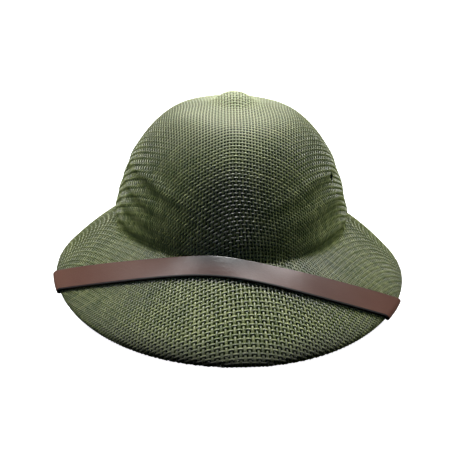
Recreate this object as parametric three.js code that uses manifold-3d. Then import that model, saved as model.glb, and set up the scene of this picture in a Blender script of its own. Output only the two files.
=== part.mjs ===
// Beekeeper's sun helmet: a pressed shell of woven straw with a leather chin strap
// worn over the front of the brim.
// Millimetres, +Z up. The front faces -Y and the hem rests on the plane Z = 0.
// Azimuth 0 points to the front and +90 degrees to +X.

import * as THREE from 'three';
import Module from 'manifold-3d';
import { mergeVertices } from 'three/addons/utils/BufferGeometryUtils.js';

const { degToRad, radToDeg, lerp, smoothstep } = THREE.MathUtils;

// Shell sizes
const BRIM_HALF_WIDTH = 140;
const BRIM_REACH = 168;
const CREASE_HEIGHT = 51.5;
const BRIM_DROOP = 0.32;
const SIDE_LIFT = 7;
const SIDE_LIFT_POWER = 3;
const WALL = 2;

// Rolled hem: its angle is the slope below the horizontal, counted on past the rim
const HEM_RADIUS = 4;
const HEM_START = degToRad(46);
const HEM_TURN = Math.PI;
const HEM_END = degToRad(202.5);
const HEM_PRESS = 0.6;

// Strap and rivet sizes
const STRAP_WIDTH = 18;
const STRAP_THICKNESS = 2;
const SEAT_GAP = 0.3;
const UNDER_GAP = 1;
const RIVET = { headRadius: 4.5, headHeight: 1.6, shankRadius: 1.8, socketDepth: 1.2 };

// Mesh steps
const AZIMUTH_STEPS = 60;
const BRIM_RINGS = 6;
const HEM_RINGS = 7;
const ROUND_SIDES = 12;

// Crown sections from the knob down to the crease with the brim. half, front and back
// are the section's reach from the middle, rise is its height above the crease, and
// rings is the number of mesh rings down to the next section.
const CROWN_SECTIONS = [
  { name: 'knob top', half: 0, front: 0, back: 0, rise: 104, rings: 1 },
  { name: 'knob round', half: 6.5, front: 6.5, back: 6.5, rise: 103, rings: 1 },
  { name: 'knob side', half: 12.5, front: 12.5, back: 12.5, rise: 100, rings: 1 },
  { name: 'knob foot', half: 18, front: 18, back: 18, rise: 96.5, rings: 1 },
  { name: 'crest', half: 26, front: 27, back: 27.5, rise: 94, rings: 2 },
  { name: 'top', half: 47.5, front: 49.5, back: 51, rise: 88.4, rings: 2 },
  { name: 'shoulder', half: 62.3, front: 65.5, back: 67.5, rise: 77, rings: 2 },
  { name: 'upper wall', half: 75.2, front: 79.5, back: 82.5, rise: 60, rings: 3 },
  { name: 'middle wall', half: 82.8, front: 88, back: 91.5, rise: 43.2, rings: 5 },
  { name: 'lower wall', half: 88.6, front: 94.3, back: 98.5, rise: 26.3, rings: 4 },
  { name: 'foot', half: 92, front: 98, back: 103, rise: 11.3, rings: 4 },
  { name: 'crease', half: 92, front: 98.5, back: 104, rise: 0, rings: 0 },
];

// Moulded folds round the sides of the crown. sideRise and endRise are a fold's height
// above the crease at the side and where it dies away, swell is how far it stands out,
// spread is its half height, and it grows from fadeFrom to fadeTo degrees off the front
// or back.
const FOLDS = [
  { side: -1, sideRise: 51, endRise: 37, swell: 2.4, spread: 4.6, fadeFrom: 14, fadeTo: 42 },
  { side: -1, sideRise: 37, endRise: 27, swell: 1.8, spread: 4.2, fadeFrom: 22, fadeTo: 52 },
  { side: -1, sideRise: 24, endRise: 17, swell: 1.8, spread: 4.2, fadeFrom: 28, fadeTo: 56 },
  { side: -1, sideRise: 11, endRise: 6, swell: 2, spread: 4.4, fadeFrom: 30, fadeTo: 58 },
  { side: 1, sideRise: 52, endRise: 38, swell: 1.9, spread: 5, fadeFrom: 12, fadeTo: 40 },
  { side: 1, sideRise: 33, endRise: 21, swell: 2.2, spread: 6.5, fadeFrom: 14, fadeTo: 42 },
  { side: 1, sideRise: 11, endRise: 5, swell: 2.5, spread: 4.6, fadeFrom: 24, fadeTo: 46 },
];
// A fold reaches its side height this many degrees after its full swell, and it is
// shallower round the very side of the crown
const FOLD_SETTLE = 20;
const FOLD_SIDE = { from: 60, to: 85, share: 0.4 };

// Vent holes drilled through the sides of the crown
const VENTS = [
  { azimuth: degToRad(68), rise: 47 },
  { azimuth: degToRad(-82), rise: 43 },
];
const VENT_RADIUS = 2.5;
const VENT_DRILL = { from: 60, to: 110 };

// The strap's route. middle, edgeSpan, hemSpan, rivetAzimuth and leanSpan are degrees of
// azimuth, the spans counted each way from the strap's middle. seat and rivetSeat are
// shares of the way out from the crease to the hem. The strap goes down the brim on a
// parabola, round the hem and back up under the brim to its rivet, and its middle leans
// on the crown, by less and less each way.
const STRAP = {
  middle: -5.5,
  seat: 0.095,
  edgeSpan: 67,
  hemSpan: 7,
  rivetAzimuth: 102,
  rivetSeat: 0.2,
  lean: degToRad(11),
  leanSpan: 17,
};
const STRAP_STEPS = { top: 15, hem: 9, under: 8, tail: 4, across: 4 };
// Stretches of the route where the strap's cut lines turn parallel to the hem and back
const SLANT_IN = { from: 0.45, to: 0.93 };
const SLANT_OUT = { from: 2.05, to: 2.9 };
// Small step for slopes
const TINY = 0.001;

// Colours
const STRAW_GREEN = new THREE.MeshStandardMaterial({ color: 0x6f7f52, roughness: 0.75, metalness: 0 });
const BROWN_LEATHER = new THREE.MeshStandardMaterial({ color: 0x5b443f, roughness: 0.5, metalness: 0 });
const DULL_BRASS = new THREE.MeshStandardMaterial({ color: 0x8c7440, roughness: 0.4, metalness: 1 });

const manifold = await Module();
manifold.setup();

// Closed skin over a stack of rings of equal count, ended by a pole at each end. A ring
// runs anticlockwise as seen from the start pole.
function skin(startPole, rings, endPole) {
  const count = rings[0].length;
  const points = [startPole, ...rings.flat(), endPole];
  const last = points.length - 1;
  const at = (ring, step) => 1 + ring * count + (step % count);
  const faces = [];
  for (let step = 0; step < count; step++) {
    faces.push(0, at(0, step), at(0, step + 1));
    faces.push(last, at(rings.length - 1, step + 1), at(rings.length - 1, step));
    for (let ring = 0; ring < rings.length - 1; ring++) {
      faces.push(at(ring, step), at(ring + 1, step), at(ring + 1, step + 1));
      faces.push(at(ring, step), at(ring + 1, step + 1), at(ring, step + 1));
    }
  }
  const geometry = new THREE.BufferGeometry().setFromPoints(points);
  geometry.setIndex(faces);
  geometry.computeVertexNormals();
  return geometry;
}

function toSolid(geometry) {
  const bare = geometry.clone();
  bare.deleteAttribute('normal');
  bare.deleteAttribute('uv');
  const merged = mergeVertices(bare);
  return new manifold.Manifold(new manifold.Mesh({
    numProp: 3,
    vertProperties: new Float32Array(merged.attributes.position.array),
    triVerts: new Uint32Array(merged.index.array),
  }));
}

function cut(geometry, cutters) {
  const solid = cutters.reduce((rest, cutter) => rest.subtract(toSolid(cutter)), toSolid(geometry));
  const mesh = solid.getMesh();
  const result = new THREE.BufferGeometry();
  result.setAttribute('position', new THREE.BufferAttribute(mesh.vertProperties, 3));
  result.setIndex(new THREE.BufferAttribute(mesh.triVerts, 1));
  result.computeVertexNormals();
  return result;
}

// Round cutter from one point to another
function drill(from, to, radius) {
  const span = to.clone().sub(from);
  const geometry = new THREE.CylinderGeometry(radius, radius, span.length(), ROUND_SIDES);
  const turn = new THREE.Quaternion().setFromUnitVectors(new THREE.Vector3(0, 1, 0), span.normalize());
  geometry.applyQuaternion(turn);
  const middle = from.clone().lerp(to, 0.5);
  return geometry.translate(middle.x, middle.y, middle.z);
}

// Point of an egg-shaped section: half an ellipse to the front and another to the back
function ovalPoint({ half, front, back }, azimuth, height) {
  const reach = Math.cos(azimuth) >= 0 ? front : back;
  return new THREE.Vector3(half * Math.sin(azimuth), -reach * Math.cos(azimuth), height);
}

// How far the folds swell the crown at an azimuth and a height above the crease
function foldSwell(azimuth, rise) {
  const across = Math.sin(azimuth);
  const offEnd = radToDeg(Math.asin(Math.abs(across)));
  const depth = lerp(1, FOLD_SIDE.share, smoothstep(offEnd, FOLD_SIDE.from, FOLD_SIDE.to));
  let swell = 0;
  for (const fold of FOLDS.filter(({ side }) => side * across > 0)) {
    const settled = smoothstep(offEnd, fold.fadeFrom, fold.fadeTo + FOLD_SETTLE);
    const crest = lerp(fold.endRise, fold.sideRise, settled);
    const strength = depth * smoothstep(offEnd, fold.fadeFrom, fold.fadeTo);
    swell += fold.swell * strength * Math.exp(-(((rise - crest) / fold.spread) ** 2));
  }
  return swell;
}

// One meridian of the crown, from below the knob's top to the crease
function crownMeridian(azimuth) {
  const sections = CROWN_SECTIONS.map((row) => ovalPoint(row, azimuth, CREASE_HEIGHT + row.rise));
  const curve = new THREE.CatmullRomCurve3(sections, false, 'centripetal');
  const spans = CROWN_SECTIONS.length - 1;
  const points = [];
  CROWN_SECTIONS.forEach((row, index) => {
    for (let ring = 1; ring <= row.rings; ring++) {
      const point = curve.getPoint((index + ring / row.rings) / spans);
      const outward = new THREE.Vector3(Math.sin(azimuth), -Math.cos(azimuth), 0);
      points.push(point.addScaledVector(outward, foldSwell(azimuth, point.z - CREASE_HEIGHT)));
    }
  });
  return points;
}

// Point of the brim's upper face. Going out is 0 at the crease and 1 where the hem
// starts to roll. From 1 to 2 the point goes half a turn round the hem.
function brimPoint(azimuth, out) {
  const crease = ovalPoint(CROWN_SECTIONS.at(-1), azimuth, CREASE_HEIGHT);
  const rim = { half: BRIM_HALF_WIDTH, front: BRIM_REACH, back: BRIM_REACH };
  const lift = SIDE_LIFT * Math.abs(Math.sin(azimuth)) ** SIDE_LIFT_POWER;
  const edge = ovalPoint(rim, azimuth, lift - HEM_PRESS + HEM_RADIUS);
  const outward = edge.clone().sub(crease).setZ(0).normalize();
  const rollPoint = (angle) => edge.clone()
    .addScaledVector(outward, HEM_RADIUS * (Math.sin(angle) - 1))
    .add(new THREE.Vector3(0, 0, HEM_RADIUS * Math.cos(angle)));
  if (out > 1) return rollPoint(HEM_START + (out - 1) * HEM_TURN);
  const point = crease.clone().lerp(rollPoint(HEM_START), out);
  const fall = lerp(out, out * out, BRIM_DROOP);
  point.z = lerp(crease.z, rollPoint(HEM_START).z, fall);
  return point;
}

// Outward normal of the brim's upper face and hem, from the slopes along both ways
function brimNormal(azimuth, out) {
  const along = brimPoint(azimuth + TINY, out).sub(brimPoint(azimuth - TINY, out));
  const down = brimPoint(azimuth, out + TINY).sub(brimPoint(azimuth, out - TINY));
  return down.cross(along).normalize();
}

// Outer rings of the shell, one list of points for each ring
function shellRings() {
  const meridians = [];
  for (let step = 0; step < AZIMUTH_STEPS; step++) {
    const azimuth = (step / AZIMUTH_STEPS) * 2 * Math.PI;
    const points = crownMeridian(azimuth);
    for (let ring = 1; ring <= BRIM_RINGS; ring++) points.push(brimPoint(azimuth, ring / BRIM_RINGS));
    for (let ring = 1; ring <= HEM_RINGS; ring++) {
      const angle = lerp(HEM_START, HEM_END, ring / HEM_RINGS);
      points.push(brimPoint(azimuth, 1 + (angle - HEM_START) / HEM_TURN));
    }
    meridians.push(points);
  }
  return meridians[0].map((_, ring) => meridians.map((points) => points[ring]));
}

// Normal of a ring stack at one point, from the even mean of the slopes above and below
function ringNormal(pole, rings, ring, step) {
  const here = rings[ring][step];
  const above = ring > 0 ? rings[ring - 1][step] : pole;
  const below = ring < rings.length - 1 ? rings[ring + 1][step] : null;
  const down = here.clone().sub(above).normalize();
  if (below) down.add(below.clone().sub(here).normalize());
  const count = rings[ring].length;
  const along = rings[ring][(step + 1) % count].clone().sub(rings[ring][(step + count - 1) % count]);
  return down.cross(along).normalize();
}

function buildShell() {
  const top = new THREE.Vector3(0, 0, CREASE_HEIGHT + CROWN_SECTIONS[0].rise);
  const outer = shellRings();
  const inner = outer.map((points, ring) => points.map((point, step) => {
    const normal = ringNormal(top, outer, ring, step);
    return point.clone().addScaledVector(normal, -WALL);
  }));
  for (const point of outer.flat()) point.z = Math.max(point.z, 0);
  const innerTop = top.clone().setZ(top.z - WALL);
  const vents = VENTS.map(({ azimuth, rise }) => {
    const reach = (radius) => ovalPoint(
      { half: radius, front: radius, back: radius }, azimuth, CREASE_HEIGHT + rise);
    return drill(reach(VENT_DRILL.from), reach(VENT_DRILL.to), VENT_RADIUS);
  });
  const sockets = [-1, 1].map((side) => rivetHole(side, -RIVET.socketDepth));
  return cut(skin(top, [...outer, ...inner.reverse()], innerTop), [...vents, ...sockets]);
}

// Where a strap's end is riveted: a point on the brim's under face and the way out of it
function rivetSeat(side) {
  const azimuth = side * degToRad(STRAP.rivetAzimuth);
  const normal = brimNormal(azimuth, STRAP.rivetSeat);
  const point = brimPoint(azimuth, STRAP.rivetSeat).addScaledVector(normal, -WALL);
  return { point, normal: normal.negate() };
}

function rivetHole(side, depth) {
  const { point, normal } = rivetSeat(side);
  const outside = UNDER_GAP + STRAP_THICKNESS + 3 * SEAT_GAP;
  return drill(
    point.clone().addScaledVector(normal, depth),
    point.clone().addScaledVector(normal, outside),
    RIVET.shankRadius + SEAT_GAP);
}

// Length of the brim's slope from the crease to the start of the hem
function slopeLength(azimuth) {
  return brimPoint(azimuth, 0).distanceTo(brimPoint(azimuth, 1));
}

// Surface that the strap lies on. run is the distance from the start of the hem:
// negative up the brim, then half a turn round the hem, then up under the brim, where
// the surface closes in on the under face.
function strapGuide(azimuth, run) {
  const length = slopeLength(azimuth);
  const turn = HEM_TURN * HEM_RADIUS;
  if (run <= 0) return brimPoint(azimuth, 1 + run / length);
  if (run <= turn) return brimPoint(azimuth, 1 + run / turn);
  const out = 1 - (run - turn) / length;
  const closing = smoothstep(1 - out, 0, 1 - STRAP.rivetSeat);
  const depth = lerp(2 * HEM_RADIUS, WALL + UNDER_GAP - SEAT_GAP, closing);
  return brimPoint(azimuth, out).addScaledVector(brimNormal(azimuth, out), -depth);
}

// Point of the strap's middle line on the guide surface. leg goes from 0 at the strap's
// middle to 1 at the hem, 2 where it leaves the hem under the brim and 3 at the rivet.
function strapRoute(side, leg) {
  const middle = degToRad(STRAP.middle);
  const hemStart = middle + side * degToRad(STRAP.edgeSpan);
  const hemEnd = hemStart + side * degToRad(STRAP.hemSpan);
  const rivet = side * degToRad(STRAP.rivetAzimuth);
  const turn = HEM_TURN * HEM_RADIUS;
  if (leg < 1) {
    const azimuth = lerp(middle, hemStart, leg);
    const out = lerp(STRAP.seat, 1, leg * leg);
    return { azimuth, run: (out - 1) * slopeLength(azimuth) };
  }
  if (leg < 2) return { azimuth: lerp(hemStart, hemEnd, leg - 1), run: (leg - 1) * turn };
  const under = (1 - STRAP.rivetSeat) * slopeLength(rivet);
  return { azimuth: lerp(hemEnd, rivet, leg - 2), run: turn + (leg - 2) * under };
}

function strapPoint(side, leg) {
  const { azimuth, run } = strapRoute(side, leg);
  return strapGuide(azimuth, run);
}

// Stations of one half of the strap. slant is how far its cut lines turn from square to
// parallel with the hem, so that the strap bends along the hem.
function strapStations(side) {
  const half = STRAP_WIDTH / 2;
  const stations = [];
  const { top, hem, under, tail } = STRAP_STEPS;
  for (let step = 0; step < top; step++) {
    const leg = step / top;
    const lean = STRAP.lean * Math.exp(-((leg * STRAP.edgeSpan / STRAP.leanSpan) ** 2));
    stations.push({ leg, half, lean, slant: smoothstep(leg, SLANT_IN.from, SLANT_IN.to) });
  }
  for (let step = 0; step < hem; step++) stations.push({ leg: 1 + step / hem, half, lean: 0, slant: 1 });
  for (let step = 0; step <= under; step++) {
    const leg = 2 + step / under;
    stations.push({ leg, half, lean: 0, slant: 1 - smoothstep(leg, SLANT_OUT.from, SLANT_OUT.to) });
  }
  const stride = strapPoint(side, 3).distanceTo(strapPoint(side, 3 - TINY)) / TINY;
  for (let step = 1; step <= tail; step++) {
    const bend = (step / (tail + 0.5)) * Math.PI / 2;
    const leg = 3 + half * Math.sin(bend) / stride;
    stations.push({ leg, half: half * Math.cos(bend), lean: 0, slant: 0 });
  }
  return stations;
}

// Outline of the strap at one station: its upper face from the downhill edge to the
// uphill edge, then its lower face back again. Distances are laid off on the guide
// surface, and the lean lifts the uphill edge.
function strapSection(side, { leg, half, lean, slant }) {
  const here = strapRoute(side, leg);
  const before = strapRoute(side, Math.max(leg - TINY, 0));
  const after = strapRoute(side, leg + TINY);
  const radius = strapGuide(here.azimuth + TINY, here.run)
    .distanceTo(strapGuide(here.azimuth, here.run)) / TINY;
  const along = new THREE.Vector2((after.azimuth - before.azimuth) * radius, after.run - before.run);
  along.normalize();
  const slide = slant > 0 ? -slant * Math.abs(along.x) / along.y : 0;
  const place = (across, height) => {
    const azimuth = here.azimuth + across * (slide * along.x - side * along.y) / radius;
    const run = here.run + across * (slide * along.y + side * along.x);
    const turned = strapGuide(azimuth + TINY, run).sub(strapGuide(azimuth - TINY, run));
    const down = strapGuide(azimuth, run + TINY).sub(strapGuide(azimuth, run - TINY));
    const lift = (half - across) * Math.sin(lean);
    return strapGuide(azimuth, run).addScaledVector(down.cross(turned).normalize(), height + lift);
  };
  const { across } = STRAP_STEPS;
  const offsets = Array.from({ length: across + 1 }, (_, index) => half * (1 - 2 * index / across));
  const upper = offsets.map((offset) => place(offset, SEAT_GAP + STRAP_THICKNESS));
  const lower = offsets.map((offset) => place(offset, SEAT_GAP));
  return [...upper, ...lower.reverse()];
}

function buildStrap() {
  const half = (side) => strapStations(side).map((station) => strapSection(side, station));
  const sections = [...half(-1).reverse(), ...half(1).slice(1)];
  const middleOf = (ring) => ring.reduce((sum, corner) => sum.add(corner), new THREE.Vector3())
    .divideScalar(ring.length);
  const whole = skin(middleOf(sections[0]), sections, middleOf(sections.at(-1)));
  return cut(whole, [-1, 1].map((side) => rivetHole(side, -RIVET.socketDepth)));
}

// Rivet turned about its own Y axis: Y = 0 is the brim's under face
function buildRivet() {
  const seat = UNDER_GAP + STRAP_THICKNESS + 2 * SEAT_GAP;
  const tip = SEAT_GAP - RIVET.socketDepth;
  const profile = new THREE.Path();
  profile.moveTo(0, tip);
  profile.lineTo(RIVET.shankRadius, tip);
  profile.lineTo(RIVET.shankRadius, seat);
  profile.lineTo(RIVET.headRadius, seat);
  profile.quadraticCurveTo(RIVET.headRadius, seat + RIVET.headHeight, 0, seat + RIVET.headHeight);
  return new THREE.LatheGeometry(profile.getPoints(4), ROUND_SIDES);
}

function named(name, geometry, material) {
  const mesh = new THREE.Mesh(geometry, material);
  mesh.name = name;
  return mesh;
}

const helmet = new THREE.Group();
helmet.add(named('shell', buildShell(), STRAW_GREEN));
helmet.add(named('chin_strap', buildStrap(), BROWN_LEATHER));
for (const [name, side] of [['strap_rivet_left', -1], ['strap_rivet_right', 1]]) {
  const { point, normal } = rivetSeat(side);
  const rivet = named(name, buildRivet(), DULL_BRASS);
  rivet.position.copy(point);
  rivet.quaternion.setFromUnitVectors(new THREE.Vector3(0, 1, 0), normal);
  helmet.add(rivet);
}

export default helmet;
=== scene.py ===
"""Woven sun helmet: the fine surfaces and finishes that go over the helmet's frame.

A pressed shell of open plain-woven straw, laid thread by thread over the crown, the brim and
the rolled hem, with a leather chin strap worn over the front of the brim. Metres, +Z up, the
front faces -Y. Azimuth 0 points to the front and +90 degrees to +X.
"""

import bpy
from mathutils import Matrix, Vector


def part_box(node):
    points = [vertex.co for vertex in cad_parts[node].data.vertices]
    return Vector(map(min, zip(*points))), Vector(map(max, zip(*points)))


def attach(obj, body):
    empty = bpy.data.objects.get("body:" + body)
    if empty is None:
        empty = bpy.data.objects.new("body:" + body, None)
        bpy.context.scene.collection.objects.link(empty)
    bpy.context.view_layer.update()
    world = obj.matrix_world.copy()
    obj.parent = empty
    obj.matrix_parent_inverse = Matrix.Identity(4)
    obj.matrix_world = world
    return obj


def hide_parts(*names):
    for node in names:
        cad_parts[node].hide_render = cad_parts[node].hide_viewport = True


bl_info = {
    "name": "Woven sun helmet",
    "version": (1, 0, 0),
    "blender": (4, 5, 0),
    "location": "View3D > Sidebar > Helmet",
    "description": "Builds a woven straw helmet with its leather chin strap and a plain studio",
    "category": "Add Mesh",
}

import math

import bpy
import numpy as np
from bpy.props import FloatProperty, FloatVectorProperty, PointerProperty
from mathutils import Matrix, Vector

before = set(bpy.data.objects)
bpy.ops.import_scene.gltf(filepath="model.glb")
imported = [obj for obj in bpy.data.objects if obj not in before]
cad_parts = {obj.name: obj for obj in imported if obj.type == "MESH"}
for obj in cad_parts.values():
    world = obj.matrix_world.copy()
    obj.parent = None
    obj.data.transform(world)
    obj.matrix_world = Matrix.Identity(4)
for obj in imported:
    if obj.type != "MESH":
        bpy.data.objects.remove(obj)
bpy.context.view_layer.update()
SHELL_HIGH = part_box("shell")[1]

MM = 0.001
UP = np.array([0.0, 0.0, 1.0])
FULL_TURN = 2 * np.pi
TINY = 1e-12

# Crown sections from the knob down to the crease with the brim: reach to the side, to the
# front and to the back, and height above the crease
CROWN_SECTIONS = MM * np.array([
    (0.0, 0.0, 0.0, 104.0),
    (6.5, 6.5, 6.5, 103.0),
    (12.5, 12.5, 12.5, 100.0),
    (18.0, 18.0, 18.0, 96.5),
    (26.0, 27.0, 27.5, 94.0),
    (47.5, 49.5, 51.0, 88.4),
    (62.3, 65.5, 67.5, 77.0),
    (75.2, 79.5, 82.5, 60.0),
    (82.8, 88.0, 91.5, 43.2),
    (88.6, 94.3, 98.5, 26.3),
    (92.0, 98.0, 103.0, 11.3),
    (92.0, 98.5, 104.0, 0.0),
])

# Moulded folds round the sides of the crown: side, height above the crease at the side and
# where the fold dies away, swell, half height (mm), and the degrees off the front or back
# between which it grows
FOLDS = (
    (-1, 51.0, 37.0, 2.4, 4.6, 14, 42),
    (-1, 37.0, 27.0, 1.8, 4.2, 22, 52),
    (-1, 24.0, 17.0, 1.8, 4.2, 28, 56),
    (-1, 11.0, 6.0, 2.0, 4.4, 30, 58),
    (1, 52.0, 38.0, 1.9, 5.0, 12, 40),
    (1, 33.0, 21.0, 2.2, 6.5, 14, 42),
    (1, 11.0, 5.0, 2.5, 4.6, 24, 46),
)
# Degrees past its growth in which a fold's crest settles at its side height, and the degrees
# between which all folds weaken to a share of their swell at the sides
FOLD_SETTLE = 20
FOLD_SIDE_FROM, FOLD_SIDE_TO, FOLD_SIDE_SHARE = 60, 85, 0.4

# Brim and rolled hem: share of the parabola in the brim's fall, how sharply the hem lifts at the
# sides, turns round the hem's circle, and how much of its underside is pressed flat
BRIM_DROOP = 0.32
SIDE_LIFT_POWER = 3
HEM_START = math.radians(46)
HEM_TURN = math.pi
HEM_END = math.radians(202.5)
HEM_PRESS = 0.6 * MM
STRAND_END = math.radians(196)

# Vent holes: azimuth and height above the crease, radius, and where the bar that cuts them ends
VENTS = ((math.radians(68), 47 * MM), (math.radians(-82), 43 * MM))
VENT_RADIUS = 2.5 * MM
VENT_FROM, VENT_TO = 60 * MM, 110 * MM

# The strap's route over the brim, round the hem and back under to its rivets. Seats are shares of
# the way from the crease to the hem, and slants are legs of the route
STRAP_MIDDLE = math.radians(-5.5)
STRAP_SEAT = 0.095
STRAP_EDGE_SPAN = math.radians(67)
STRAP_HEM_SPAN = math.radians(7)
STRAP_LEAN = math.radians(11)
STRAP_LEAN_SPAN = math.radians(17)
RIVET_AZIMUTH = math.radians(102)
RIVET_SEAT = 0.2
SEAT_GAP = 0.3 * MM
UNDER_GAP = 1.0 * MM
SLANT_IN = (0.45, 0.93)
SLANT_OUT = (2.05, 2.9)

# Small step by which slopes are measured
SLOPE_STEP = 0.001

# Table of the shell's outer face: its columns, the distance between its rows, the points of the
# crown, brim and hem that the rows are laid through, and what the face and the mould have to spare
AZIMUTHS = 720
ROW_STEP = 0.6 * MM
CURVE_STEPS = 24
SLOPE_ROWS = 120
HEM_ROWS = 60
HEM_SPARE = math.radians(60)
NET_SPARE = 90 * MM

# Depths below the shell's outer face
STRAND_DEPTH = 0.55 * MM
BACKING_DEPTH = 1.25 * MM


def linear(code):
    """Linear colour of an sRGB hex code: each channel is undone by the sRGB curve."""
    srgb = np.array([int(code[at:at + 2], 16) for at in (1, 3, 5)]) / 255
    return tuple(np.where(srgb <= 0.04045, srgb / 12.92, ((srgb + 0.055) / 1.055) ** 2.4))


def colour(name, description, code):
    """Colour property with its default given as an sRGB hex code."""
    return FloatVectorProperty(
        name=name, description=description, subtype="COLOR", size=3, min=0, max=1, default=linear(code))


def length(name, description, millimetres):
    """Length property with its default given in millimetres."""
    return FloatProperty(name=name, description=description, unit="LENGTH", default=millimetres * MM)


def angle(name, description, degrees):
    """Angle property with its default given in degrees."""
    return FloatProperty(
        name=name, description=description, subtype="ANGLE", default=math.radians(degrees))


class HelmetShellForm(bpy.types.PropertyGroup):
    """Sizes of the pressed shell."""
    brim_half_width: length("Brim half width", "From the middle to the brim's side", SHELL_HIGH[0] / MM)
    brim_reach: length("Brim reach", "From the middle to the brim's front and back", SHELL_HIGH[1] / MM)
    crease_height: length("Crease height", "Height of the crease between crown and brim", 51.5)
    side_lift: length("Side lift", "How much higher the hem is at the sides", 7)
    wall: length("Wall", "Thickness of the pressed shell", 2)
    hem_radius: length("Hem radius", "Radius of the rolled hem", 4)
    # Painted shade: the backing's near-black, slightly blue colour stands for the shade in the gaps between
    # strands
    gap_shade: colour("Gap shade", "Stiffened straw in the dark between the strands", "#0b1312")
    inside: colour("Inside", "Woven straw seen from inside the crown", "#59643f")


class HelmetWeaveForm(bpy.types.PropertyGroup):
    """Sizes and dye of the straw cloth."""
    column_pitch: length("Column pitch", "Distance between strands that run front to back", 2.45)
    row_pitch: length("Row pitch", "Distance between strands that run side to side", 2.95)
    strand_width: length("Strand width", "Width of a strand where the cloth is open", 2.1)
    strand_thickness: length("Strand thickness", "Thickness of a strand", 0.85)
    crimp: length("Crimp", "How far a strand rises and dips as it weaves", 0.38)
    turn: angle("Turn", "Turn of the cloth on the mould", 2)
    # Dye in the valleys and worn dye on the crests: partly real wear, partly painted shade in the dips and
    # painted light on the crests
    dye: colour("Dye", "Straw in the valleys of the weave", "#5b6838")
    worn_and_lit: colour("Worn dye", "Straw on the crests of the weave", "#949b63")
    # Partly sun bleaching, partly painted light: the strand crests on the crown's top are paler
    bleached_and_lit: colour("Bleached and lit", "Straw of the crown's top, bleached by the sun", "#e8f0b6")
    # Painted shade: the hem's colour, darkened towards its roll, stands for the shade there
    hem_shade_tone: colour("Hem shade", "Straw of the hem, darkened by handling", "#2f3415")


class HelmetStrapForm(bpy.types.PropertyGroup):
    """Sizes and colours of the chin strap and its rivets."""
    width: length("Width", "Width of the strap", 18)
    thickness: length("Thickness", "Thickness of the strap", 2)
    corner: length("Corner", "Rounding of the strap's edges", 0.5)
    leather: colour("Leather", "Smooth face of the strap", "#5e4138")
    leather_worn: colour("Worn leather", "Paler patches of the smooth face", "#745448")
    # Painted shade: the crown's shadow on the middle of the strap's uphill edge
    crown_shade: colour("Crown shade", "Face of the strap where it rubs on the crown", "#2b1e1a")
    # Edge colour: the dye of the cut edges, and on the downhill face also painted shadow
    edge: colour("Edge", "Dyed cut edge of the strap", "#0d0a09")
    head_radius: length("Rivet head radius", "Radius of a rivet's head", 4.5)
    head_height: length("Rivet head height", "Height of a rivet's head", 1.6)
    shank_radius: length("Rivet shank radius", "Radius of a rivet's shank", 1.8)
    brass: colour("Brass", "Dull brass of the rivets", "#a58a50")


class HelmetStageForm(bpy.types.PropertyGroup):
    """Camera, lights and floor."""
    distance: length("Distance", "From the camera to the point it looks at", 1000)
    aim_height: length("Aim height", "Height of the point the camera looks at", 40.5)
    aim_side: length("Aim side", "Side offset of the point the camera looks at", -0.5)
    elevation: angle("Elevation", "Camera height above the horizon", 20.4)
    roll: angle("Roll", "Roll of the camera about its line of sight", 1.67)
    lens: FloatProperty(
        name="Lens", description="Focal length on a 36 mm square sensor", unit="CAMERA", default=96.7)
    floor: colour("Floor", "Plain white floor, lit from below", "#ffffff")
    fill: colour("Front fill", "Cool light on the shaded front", "#7d9fff")


FORMS = {
    "helmet_shell": HelmetShellForm,
    "helmet_weave": HelmetWeaveForm,
    "helmet_strap": HelmetStrapForm,
    "helmet_stage": HelmetStageForm,
}


# Small helpers for numbers

def lerp(start, end, share):
    """Straight blend from start to end."""
    return start + (end - start) * share


def smoothstep(value, low, high):
    """Rises from 0 at low to 1 at high, level at both ends."""
    share = np.clip((value - low) / (high - low), 0, 1)
    return share * share * (3 - 2 * share)


def unit(vectors):
    """Vectors brought to length 1."""
    return vectors / np.maximum(np.linalg.norm(vectors, axis=-1, keepdims=True), TINY)


def area(first, second):
    """Area spanned by two vectors of a plane, positive where the second is turned to the left."""
    return first[..., 0] * second[..., 1] - first[..., 1] * second[..., 0]


def polar(plane):
    """Distance from the middle of a plane, and azimuth."""
    return np.hypot(plane[..., 0], plane[..., 1]), np.arctan2(plane[..., 1], plane[..., 0])


def heading(azimuth):
    """Direction of an azimuth in the plane: its cosine and sine."""
    return np.stack([np.cos(azimuth), np.sin(azimuth)], -1)


def level_heading(azimuth):
    """Level direction of an azimuth round the helmet: its sine to +X and its cosine to the front."""
    return np.stack([np.sin(azimuth), -np.cos(azimuth), 0 * azimuth], -1)


def travelled(points):
    """Distance gone at each row of points: the sum of the straight steps down to it."""
    steps = np.linalg.norm(np.diff(points, axis=0), axis=-1)
    return np.concatenate([np.zeros_like(steps[:1]), np.cumsum(steps, axis=0)])


def blend_cells(table, row, column):
    """Table read between its cells: a straight blend of the four cells round each place."""
    low_row = np.clip(row.astype(int), 0, table.shape[0] - 2)
    low_column = np.clip(column.astype(int), 0, table.shape[1] - 2)
    row_share = np.clip(row - low_row, 0, 1)[..., None]
    column_share = np.clip(column - low_column, 0, 1)[..., None]
    upper = lerp(table[low_row, low_column], table[low_row, low_column + 1], column_share)
    lower = lerp(table[low_row + 1, low_column], table[low_row + 1, low_column + 1], column_share)
    return lerp(upper, lower, row_share)


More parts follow.
